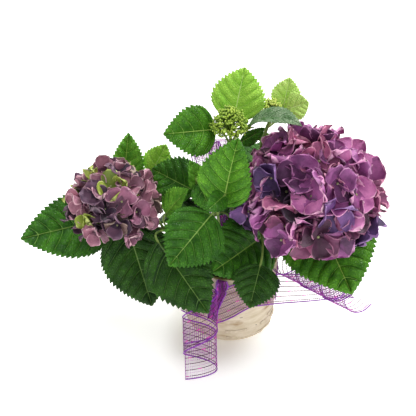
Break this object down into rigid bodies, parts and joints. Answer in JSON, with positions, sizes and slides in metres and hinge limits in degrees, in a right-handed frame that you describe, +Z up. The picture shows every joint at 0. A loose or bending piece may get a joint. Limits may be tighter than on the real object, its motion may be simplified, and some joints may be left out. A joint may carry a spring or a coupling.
{
  "type": "potted hydrangea",
  "caption": "Leafy hydrangea in a bark-faced pot with a large and a small mauve flower head, green bud heads and a wired mesh ribbon.",
  "frame": {"origin": "centre of the pot's flat underside", "axes": "+Z up, +X from the small flower head towards the large one, -Y towards the side that shows best"},
  "size_m": [0.5096, 0.3221, 0.3743],
  "materials": {
    "bark": "matt peeling bark",
    "compost": "matt crumbs",
    "cane": "matt green bark",
    "leaf": "satin leaf",
    "sepal": "soft matt petal",
    "bud": "matt green bud",
    "mesh_ribbon": "open shiny mesh"
  },
  "bodies": {
    "root": {"pot": "bark", "soil": "compost", "cane_left": "cane", "cane_right": "cane", "cane_centre": "cane", "cane_front": "cane", "cane_middle": "cane", "cane_tall": "cane", "cane_back_left": "cane", "cane_back_right": "cane", "foliage_left": "leaf", "foliage_right": "leaf", "foliage_centre": "leaf", "foliage_front": "leaf", "foliage_middle": "leaf", "foliage_tall": "leaf", "foliage_back_left": "leaf", "foliage_back_right": "leaf", "bloom_large": "sepal", "bloom_small": "sepal", "buds_centre": "bud", "buds_tall": "bud", "ribbon_wrap": "mesh_ribbon", "ribbon_knot": "mesh_ribbon", "ribbon_tail_left": "mesh_ribbon", "ribbon_tail_right": "mesh_ribbon", "ribbon_bow": "mesh_ribbon"}
  },
  "joints": []
}
